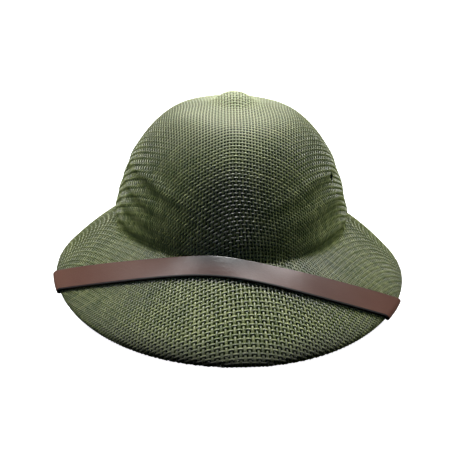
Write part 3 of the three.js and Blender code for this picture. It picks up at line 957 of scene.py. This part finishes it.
# Painted shade darkens the hem between these distances from the hem's start and is weaker by a share at
# the sides. Sun bleaching and painted light pale the crown's top between these distances from the knob.
HEM_SHADE_REACH = (-16 * MM, 4 * MM)
SIDE_SHADE_CUT, SHADE_CUT_SIDE = 0.55, (0.35, 0.8)
BLEACH_AND_TOP_LIGHT, BLEACH_AND_TOP_LIGHT_REACH = 0.9, (95 * MM, 20 * MM)
# Wear and painted shade at a strand's edge, crest, other edge and underside, and its share where the
# strand dips: paler crests are partly painted light, darker dips and undersides are painted shade
CORNER_WEAR_AND_SHADE = np.array([0.55, 1.0, 0.55, 0.0])
DIP_WEAR_AND_SHADE = 0.35
# Bake map: shares of a strand's row for the margin, for each of its four sides, and for the ends
BAKE_MARGIN, BAKE_SIDE = 0.04, 0.23
BAKE_END = np.array([(-0.3, 0.0), (-0.3, 0.4), (0.3, 0.4), (0.3, 0.0)])
# Twist of the yarn along a strand, and how far it goes on from each side to the next
TWIST_PITCH = 1.2 * MM
TWIST_SIDE = 0.5
FLOOR_CLEAR = 0.05 * MM
# Dye: seed, stations over which it wanders, and spread
TINT_SEED = 7
TINT_RUN = 9
TINT_SPREAD = 0.6


def vent_gaps(form, points):
    """True where a point lies inside the bore of a vent."""
    gaps = np.zeros(points.shape[:-1], bool)
    for middle, way in vent_axes(form):
        offset = points - middle
        along = offset @ way
        aside = np.linalg.norm(offset - along[..., None] * way, axis=-1)
        gaps |= (along > 0) & (aside < VENT_RADIUS)
    return gaps


def strand_rings(face, form, weave, family, net, over, end):
    """Rings of the strands that run along the net's first axis, their lift, which of them are
    shown, how much sun bleaching and painted light pale them on the crown's top, and how much
    painted shade darkens them at the hem.

    A strand has a ring on each crossing, raised or lowered by the crimp, and one halfway to the
    next, and it stops at the end of the hem. Its section is a flat diamond across the strand.
    """
    stations = 2 * len(net) - 1
    plane = np.empty((stations, net.shape[1], 2))
    plane[0::2] = net
    plane[1::2] = (net[1:] + net[:-1]) / 2
    lift = np.zeros(plane.shape[:2])
    lift[0::2] = over
    reach = polar(plane)[0]
    shown = reach <= end
    inside = shown.copy()
    for near, far in ((np.s_[:-1], np.s_[1:]), (np.s_[1:], np.s_[:-1])):
        leaves = inside[near] & ~inside[far]
        share = (end - reach[near]) / np.where(leaves, reach[far] - reach[near], 1)
        stop = lerp(plane[near], plane[far], share[..., None])
        plane[far] = np.where(leaves[..., None], stop, plane[far])
        shown[far] |= leaves
    reach, azimuth = polar(plane)
    sideways = np.abs(np.sin(azimuth))
    closed = smoothstep(sideways, *CLOSED_SIDE) * smoothstep(reach, *CLOSED_REACH)
    top = smoothstep(reach, *TOP_REACH) * smoothstep(reach, *KNOB_REACH)
    flat = lerp(lerp(1, TOP_FLAT_SHARE, top), CLOSED_FLAT_SHARE, closed)
    normals = face.facing(plane)
    seat = face.at(plane) - STRAND_DEPTH * normals
    middle = seat + (weave.crimp * flat * lift)[..., None] * normals
    shown &= ~vent_gaps(form, middle)
    hem_shade = smoothstep(reach - face.hem_start, *HEM_SHADE_REACH)
    hem_shade *= 1 - SIDE_SHADE_CUT * smoothstep(sideways, *SHADE_CUT_SIDE)
    bleach_and_top_light = BLEACH_AND_TOP_LIGHT * smoothstep(reach, *BLEACH_AND_TOP_LIGHT_REACH)
    forward = unit(np.gradient(middle, axis=0))
    aside = unit(np.cross(normals, forward))
    spacing = np.linalg.norm(np.cross(np.gradient(seat, axis=1), forward), axis=-1)
    share = lerp(lerp(OPEN_SHARE, TOP_SHARES[family], top), CLOSED_SHARE, closed)
    half = np.minimum(weave.strand_width, share * spacing) / 2
    above = np.cross(forward, aside) * (weave.strand_thickness / 2 * flat)[..., None]
    beside = aside * half[..., None]
    rings = np.stack([middle + beside, middle + above, middle - beside, middle - above], 2)
    rings[..., 2] = np.maximum(rings[..., 2], FLOOR_CLEAR)
    return rings, lift, shown, bleach_and_top_light, hem_shade


def strand_mesh(rings, lift, shown, tint, bleach_and_top_light, hem_shade):
    """Points, faces, maps and values of closed strands, one row of the bake map for each."""
    stations, strands = shown.shape
    index = np.full(shown.shape, -1)
    index[shown] = np.arange(shown.sum())
    linked = shown[:-1] & shown[1:]
    here, there = 4 * index[:-1][linked][:, None], 4 * index[1:][linked][:, None]
    turn = np.arange(4)
    onward = (turn + 1) % 4
    sides = np.stack([here + turn, here + onward, there + onward, there + turn], -1).reshape(-1, 4)
    beyond = np.zeros((1, strands), bool)
    first = shown & ~np.concatenate([beyond, shown[:-1]])
    last = shown & ~np.concatenate([shown[1:], beyond])
    ends = np.concatenate([4 * index[first][:, None] + turn[::-1], 4 * index[last][:, None] + turn])

    def side_map(along, row, height):
        """Corners of the side faces: along the strand, and round it within its row."""
        start, stop, low = np.broadcast_arrays(
            along[:-1][linked][:, None], along[1:][linked][:, None],
            row[:-1][linked][:, None] + height * turn)
        corners = ((start, low), (start, low + height), (stop, low + height), (stop, low))
        return np.stack([np.stack(corner, -1) for corner in corners], 2).reshape(-1, 2)

    station, strand = np.indices(shown.shape)
    along, row = (station + 0.5) / stations, (strand + BAKE_MARGIN) / strands
    spot = np.stack([along, row], -1)
    bake_ends = np.concatenate([spot[first], spot[last]])[:, None] + BAKE_END / [stations, strands]
    twist = side_map(travelled(rings.mean(axis=2)) / TWIST_PITCH, np.zeros(shown.shape), TWIST_SIDE)
    wear_and_shade = lerp(DIP_WEAR_AND_SHADE, 1, (lift[shown] + 1) / 2)
    even = {"tint": tint, "bleach_and_top_light": bleach_and_top_light, "hem_shade": hem_shade}
    return dict(
        points=rings[shown].reshape(-1, 3),
        quads=np.concatenate([sides, ends]),
        maps={
            "Twist": np.concatenate([twist, np.zeros((4 * len(ends), 2))]),
            "OFBake": np.concatenate([side_map(along, row, BAKE_SIDE / strands), bake_ends.reshape(-1, 2)]),
        },
        values={
            **{name: np.repeat(numbers[shown], 4) for name, numbers in even.items()},
            "crest": wear_and_shade[:, None] * CORNER_WEAR_AND_SHADE,
        },
    )


def strand_tint(random, stations, strands):
    """Dye of each strand: one draw for the whole strand, and a running mean of draws along it."""
    whole = random.normal(size=(1, strands))
    steps = random.normal(size=(stations + TINT_RUN - 1, strands))
    sums = np.cumsum(np.concatenate([np.zeros((1, strands)), steps]), axis=0)
    wander = (sums[TINT_RUN:] - sums[:-TINT_RUN]) / math.sqrt(TINT_RUN)
    return TINT_SPREAD * (whole + wander)


class HELMET_OT_weave(bpy.types.Operator):
    """Weave the straw cloth over the crown, brim and hem"""
    bl_idname = "helmet.weave"
    bl_label = "Straw weave"

    def execute(self, context):
        form, weave = context.scene.helmet_shell, context.scene.helmet_weave
        mould, face = shell_skins(form)
        net = drape_cloth(mould, weave)
        end = face.hem_start + (STRAND_END - HEM_START) * form.hem_radius
        row, column = np.indices(net.shape[:2])
        over = np.where((row + column) % 2 == 0, 1.0, -1.0)
        straw = lacquered_straw(weave)
        random = np.random.default_rng(TINT_SEED)
        # Each family is made in two halves, lower counts first. The halves' names are labels only: the
        # half named front lies at the back, and the half named right lies at -X.
        families = (
            ("columns", net, over, ("right", "left")),
            ("rows", np.swapaxes(net, 0, 1), -over.T, ("front", "back")),
        )
        for family, places, lifts, (low_half, high_half) in families:
            rings, lift, shown, bleach_and_top_light, hem_shade = strand_rings(
                face, form, weave, family, places, lifts, end)
            tint = strand_tint(random, *shown.shape)
            tables = (rings, lift, shown, tint, bleach_and_top_light, hem_shade)
            middle = shown.shape[1] // 2
            for half_name, part in ((low_half, np.s_[:, :middle]), (high_half, np.s_[:, middle:])):
                used = shown[part].any(axis=0)
                mesh = strand_mesh(*(table[part][:, used] for table in tables))
                new_piece(f"straw_{family}_{half_name}", slot="straw", materials=[straw], **mesh)
        return {"FINISHED"}


# Chin strap

# Sections along the three legs of the route and round the tail beyond the rivet, which stops part of
# a step before its tip, and steps across a face and round a corner
STRAP_LEG_STEPS = (110, 40, 40)
STRAP_TAIL_STEPS, STRAP_TIP_STEP = 14, 0.5
STRAP_FACE_STEPS, STRAP_CORNER_STEPS = 12, 4
# Where the crown's painted shade grows on the strap: shares across from the downhill to the uphill edge,
# and legs of the route
CROWN_SHADE_ACROSS, CROWN_SHADE_ALONG = (-0.6, 1.0), (0.34, 0.04)
# Shares across at which the edge dye, with painted shadow on the downhill face, ends and the bare face
# begins
STRAP_DYE_AND_SHADOW_SHARE = 0.93
STRAP_BARE_SHARE = 0.87


def slope_length(form, azimuth):
    """Straight length of the brim's slope from the crease to the start of the hem."""
    return np.linalg.norm(brim_point(form, azimuth, 1.0) - brim_point(form, azimuth, 0.0), axis=-1)


def strap_guide(form, azimuth, run):
    """Surface that the strap lies on, by the distance from the start of the hem.

    Negative distances go up the brim, then come half a turn round the hem and the way back up
    under the brim, where the surface closes in on the under face.
    """
    reach = slope_length(form, azimuth)
    turn = HEM_TURN * form.hem_radius
    over = 1 + np.where(run > 0, np.minimum(run, turn) / turn, run / reach)
    out = 1 - np.maximum(run - turn, 0) / reach
    closing = smoothstep(1 - out, 0, 1 - RIVET_SEAT)
    depth = lerp(2 * form.hem_radius, form.wall + UNDER_GAP - SEAT_GAP, closing)
    under = brim_point(form, azimuth, out) - depth[..., None] * brim_normal(form, azimuth, out)
    return np.where((run > turn)[..., None], under, brim_point(form, azimuth, over))


def strap_route(form, side, leg):
    """Azimuth and run of the strap's middle line: leg 0 at its middle, 1 at the hem, 2 where it
    leaves the hem under the brim and 3 at the rivet. Down the brim it is a parabola."""
    hem_start = STRAP_MIDDLE + side * STRAP_EDGE_SPAN
    hem_end = hem_start + side * STRAP_HEM_SPAN
    rivet = side * RIVET_AZIMUTH
    turn = HEM_TURN * form.hem_radius
    top_azimuth = lerp(STRAP_MIDDLE, hem_start, leg)
    top_run = (lerp(STRAP_SEAT, 1, leg * leg) - 1) * slope_length(form, top_azimuth)
    under_run = turn + (leg - 2) * (1 - RIVET_SEAT) * slope_length(form, rivet)
    azimuth = np.where(leg < 1, top_azimuth, np.where(
        leg < 2, lerp(hem_start, hem_end, leg - 1), lerp(hem_end, rivet, leg - 2)))
    run = np.where(leg < 1, top_run, np.where(leg < 2, (leg - 1) * turn, under_run))
    return azimuth, run


def strap_outline(strap):
    """Outline of the strap's section: shares across, distance in from the edge, height and paint.

    It runs over the smooth face from the downhill edge to the uphill edge and down round two quarter
    circles. The other half is this half turned over. The edges are dyed dark, and on the downhill
    side the dark goes a little way on to the faces as painted shadow below the strap.
    """
    quarter = np.linspace(0, np.pi / 2, STRAP_CORNER_STEPS + 1)[1:]
    inset = strap.corner * (1 - np.sin(quarter))
    drop = strap.corner * (1 - np.cos(quarter))
    bare = np.linspace(1, -1, STRAP_FACE_STEPS + 1) * STRAP_BARE_SHARE
    face = np.concatenate([[1, STRAP_DYE_AND_SHADOW_SHARE], bare, [-STRAP_DYE_AND_SHADOW_SHARE, -1]])
    level, corners = np.ones(len(face)), np.ones(2 * len(quarter))
    across = np.concatenate([face, -corners])
    inward = np.concatenate([strap.corner * level, inset, inset[::-1]])
    height = np.concatenate([strap.thickness * level, strap.thickness - drop, drop[::-1]])
    across = np.concatenate([across, -across])
    height = np.concatenate([height, strap.thickness - height])
    edge = np.maximum(np.tile(np.concatenate([0 * level, corners]), 2), across >= STRAP_DYE_AND_SHADOW_SHARE)
    return across, np.tile(inward, 2), height, edge


def strap_half(form, strap, side):
    """Sections of the strap from its middle to one end, laid off on the guide surface.

    Cut lines turn parallel to the hem where the strap bends round it. The middle of the strap
    leans on the crown, which lifts its uphill edge, and along that edge the face is darkened as
    painted shade of the crown.
    """
    half_width = strap.width / 2
    legs = [at + np.arange(steps) / steps for at, steps in enumerate(STRAP_LEG_STEPS)]
    ends = strap_guide(form, *strap_route(form, side, np.array([3 - SLOPE_STEP, 3])))
    stride = np.linalg.norm(ends[1] - ends[0]) / SLOPE_STEP
    bend = np.arange(STRAP_TAIL_STEPS + 1) / (STRAP_TAIL_STEPS + STRAP_TIP_STEP) * np.pi / 2
    leg = np.concatenate([*legs, 3 + half_width * np.sin(bend) / stride])
    half = np.full(len(leg), half_width)
    half[-len(bend):] *= np.cos(bend)
    slant = smoothstep(leg, *SLANT_IN) * (1 - smoothstep(leg, *SLANT_OUT))
    lean = STRAP_LEAN * np.exp(-((leg * STRAP_EDGE_SPAN / STRAP_LEAN_SPAN) ** 2)) * (leg < 1)

    azimuth, run = strap_route(form, side, leg)
    before = strap_route(form, side, np.maximum(leg - SLOPE_STEP, 0))
    after = strap_route(form, side, leg + SLOPE_STEP)
    around = strap_guide(form, azimuth + SLOPE_STEP, run) - strap_guide(form, azimuth, run)
    radius = np.linalg.norm(around, axis=-1) / SLOPE_STEP
    along = unit(np.stack([(after[0] - before[0]) * radius, after[1] - before[1]], -1))
    slope = np.where(slant > 0, along[:, 1], 1)
    slide = -slant * np.abs(along[:, 0]) / slope

    shares, inward, height, edge = strap_outline(strap)
    room = np.maximum(half[:, None] - inward, 0)
    across = shares * room
    lift = (half[:, None] - across) * np.sin(lean)[:, None]
    turned = azimuth[:, None] + across * ((slide * along[:, 0] - side * along[:, 1]) / radius)[:, None]
    moved = run[:, None] + across * (slide * along[:, 1] + side * along[:, 0])[:, None]
    run_step = SLOPE_STEP * MM
    left, right = (strap_guide(form, turned + step, moved) for step in (-SLOPE_STEP, SLOPE_STEP))
    above, below = (strap_guide(form, turned, moved + step) for step in (-run_step, run_step))
    normal = unit(np.cross(below - above, right - left))
    points = strap_guide(form, turned, moved) + (SEAT_GAP + height + lift)[..., None] * normal
    crown_shade = smoothstep(-shares, *CROWN_SHADE_ACROSS) * smoothstep(leg, *CROWN_SHADE_ALONG)[:, None]
    return points, np.broadcast_to(edge, points.shape[:2]), crown_shade


class HELMET_OT_strap(bpy.types.Operator):
    """Lay the leather chin strap over the front of the brim"""
    bl_idname = "helmet.strap"
    bl_label = "Chin strap"

    def execute(self, context):
        form, strap = context.scene.helmet_shell, context.scene.helmet_strap
        left, right = (strap_half(form, strap, side) for side in (-1, 1))
        rings, edge, crown_shade = (np.concatenate([start[::-1], end[1:]]) for start, end in zip(left, right))
        piece = new_piece(
            "leather_chin_strap", *closed_rings(rings, rings[0].mean(axis=0), rings[-1].mean(axis=0)),
            slot="leather", materials=[strap_leather(strap)], values={
                "edge_dye_and_shadow": np.append(edge, [1, 1]), "crown_shade": np.append(crown_shade, [0, 0])})
        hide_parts("chin_strap")
        return {"FINISHED"}


# Rivets

RIVET_SIDES, DOME_STEPS = 48, 12
# How deep the shank goes into the shell, and the rim's share of the head's height
SOCKET_DEPTH = 1.2 * MM
RIM_SHARE = 0.3


def rivet_profile(strap):
    """Radius and height of the rivet: a straight shank, then a domed head with a rounded rim."""
    foot = SEAT_GAP - SOCKET_DEPTH
    seat = UNDER_GAP + strap.thickness + 2 * SEAT_GAP
    rim = RIM_SHARE * strap.head_height
    quarter = np.linspace(0, np.pi / 2, DOME_STEPS + 1)
    dome_radius = strap.head_radius * np.cos(quarter)
    dome_height = seat + rim + (strap.head_height - rim) * np.sin(quarter)
    shank, head = strap.shank_radius, strap.head_radius
    radius = np.concatenate([[0, shank, shank, head - rim / 2, head], dome_radius])
    height = np.concatenate([[foot, foot, seat, seat, seat + rim / 2], dome_height])
    return radius, height


class HELMET_OT_rivets(bpy.types.Operator):
    """Set the two rivets that hold the strap's ends under the brim"""
    bl_idname = "helmet.rivets"
    bl_label = "Rivets"

    def execute(self, context):
        form, strap = context.scene.helmet_shell, context.scene.helmet_strap
        brass = dull_brass(strap)
        radius, height = rivet_profile(strap)
        turn = np.arange(RIVET_SIDES)[:, None] / RIVET_SIDES * FULL_TURN
        for name, side in (("left", -1), ("right", 1)):
            azimuth, out = np.array(side * RIVET_AZIMUTH), np.array(RIVET_SEAT)
            outward = -brim_normal(form, azimuth, out)
            seat = brim_point(form, azimuth, out) + form.wall * outward
            side_way = unit(np.cross(outward, UP))
            spokes = np.cos(turn) * side_way + np.sin(turn) * np.cross(side_way, outward)
            rings = seat + radius[:, None, None] * spokes + height[:, None, None] * outward
            piece = new_piece(
                f"brass_rivet_{name}", *closed_rings(rings[1:-1], rings[0, 0], rings[-1, 0]),
                slot="rivet", materials=[brass])
            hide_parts(f"strap_rivet_{name}")
        return {"FINISHED"}


# Stage

# Side of the square floor in metres, and how strongly it glows
FLOOR_SIZE = 40.0
FLOOR_GLOW = 1.0
# Lamps: name, azimuth, elevation and spread in degrees, strength
SOFT_LAMPS = (
    ("right_back_softbox", 135, 35, 26, 1.9),
    ("right_high_softbox", 120, 45, 12, 1.6),
    ("right_low_softbox", 90, 10, 26, 0.7),
    ("left_back_softbox", 225, 35, 26, 1.7),
    ("left_high_softbox", 240, 45, 12, 2.6),
    ("left_low_softbox", 270, 15, 26, 0.4),
    ("front_fill", 0, 3, 30, 0.35),
)
SHEEN_LAMPS = (
    ("overhead_strip", 180, 78, 14, 3.8),
    ("right_strip", 140, 62, 14, 1.0),
    ("left_strip", 270, 60, 12, 1.2),
    ("back_panel", 180, 35, 26, 2.6),
)


def look_at(place, target):
    """Turn that points an object's -Z axis from place to target."""
    return (Vector(target) - Vector(place)).to_track_quat("-Z", "Y")


def lay_floor(stage):
    """Square of back-lit acrylic that throws no light on the helmet."""
    material, tree = new_material("back_lit_acrylic")
    finish_material(tree, {
        "Base Color": opaque(stage.floor), "Roughness": 0.9, "Emission Color": opaque(stage.floor),
        "Emission Strength": FLOOR_GLOW})
    half = FLOOR_SIZE / 2
    corners = [(-half, -half, 0), (half, -half, 0), (half, half, 0), (-half, half, 0)]
    mesh = bpy.data.meshes.new("floor")
    mesh.from_pydata(corners, [], [range(4)])
    mesh.materials.append(material)
    floor = bpy.data.objects.new("floor", mesh)
    floor.visible_diffuse = False
    floor.visible_glossy = False
    bpy.context.scene.collection.objects.link(floor)


def hang_lamps(stage):
    """Soft lamps that light the straw's own colour, and sheen lamps that only show as highlights."""
    for lamps, hidden_from in ((SOFT_LAMPS, "visible_glossy"), (SHEEN_LAMPS, "visible_diffuse")):
        for name, azimuth, elevation, spread, strength in lamps:
            light = bpy.data.lights.new(name, "SUN")
            light.energy, light.angle = strength, math.radians(spread)
            lamp = bpy.data.objects.new(name, light)
            turn, rise = math.radians(azimuth), math.radians(elevation)
            lamp.location = math.cos(rise) * level_heading(turn) + math.sin(rise) * UP
            lamp.rotation_euler = look_at(lamp.location, (0, 0, 0)).to_euler()
            setattr(lamp, hidden_from, False)
            bpy.context.scene.collection.objects.link(lamp)
    bpy.data.lights["front_fill"].color = stage.fill


def paint_room(scene):
    """White room that is seen but throws no light on the helmet."""
    world = bpy.data.worlds.new("white_room")
    scene.world = world
    world.use_nodes = True
    world.node_tree.nodes["Background"].inputs["Color"].default_value = opaque((1, 1, 1))
    world.cycles_visibility.diffuse = False
    world.cycles_visibility.glossy = False


def set_camera(scene, stage):
    """Camera in front of its aim, raised by the elevation and rolled about its line of sight."""
    camera = bpy.data.objects.new("camera", bpy.data.cameras.new("camera"))
    camera.data.lens = stage.lens
    aim = Vector((stage.aim_side, 0, stage.aim_height))
    back = Vector((0, -math.cos(stage.elevation), math.sin(stage.elevation)))
    place = aim + stage.distance * back
    turn = look_at(place, aim).to_matrix().to_4x4()
    camera.matrix_world = Matrix.Translation(place) @ turn @ Matrix.Rotation(stage.roll, 4, "Z")
    scene.collection.objects.link(camera)
    scene.camera = camera


class HELMET_OT_stage(bpy.types.Operator):
    """Set the floor, the lights and the camera"""
    bl_idname = "helmet.stage"
    bl_label = "Stage"

    def execute(self, context):
        stage = context.scene.helmet_stage
        context.scene.view_settings.view_transform = "Standard"
        lay_floor(stage)
        hang_lamps(stage)
        paint_room(context.scene)
        set_camera(context.scene, stage)
        return {"FINISHED"}


OPERATORS = (HELMET_OT_stage, HELMET_OT_shell, HELMET_OT_weave, HELMET_OT_strap, HELMET_OT_rivets)


class HELMET_PT_panel(bpy.types.Panel):
    """Sizes, colours and building steps of the helmet"""
    bl_idname = "HELMET_PT_panel"
    bl_label = "Woven sun helmet"
    bl_space_type = "VIEW_3D"
    bl_region_type = "UI"
    bl_category = "Helmet"

    def draw(self, context):
        for form_name, form in FORMS.items():
            box = self.layout.box()
            for field in form.__annotations__:
                box.prop(getattr(context.scene, form_name), field)
        for operator in OPERATORS:
            self.layout.operator(operator.bl_idname)


CLASSES = (*FORMS.values(), *OPERATORS, HELMET_PT_panel)


def register():
    for cls in CLASSES:
        bpy.utils.register_class(cls)
    for form_name, form in FORMS.items():
        setattr(bpy.types.Scene, form_name, PointerProperty(type=form))


def unregister():
    for form_name in FORMS:
        delattr(bpy.types.Scene, form_name)
    for cls in reversed(CLASSES):
        bpy.utils.unregister_class(cls)


def main():
    register()
    bpy.ops.helmet.stage()
    bpy.ops.helmet.shell()
    bpy.ops.helmet.weave()
    bpy.ops.helmet.strap()
    bpy.ops.helmet.rivets()


if __name__ == "__main__":
    main()
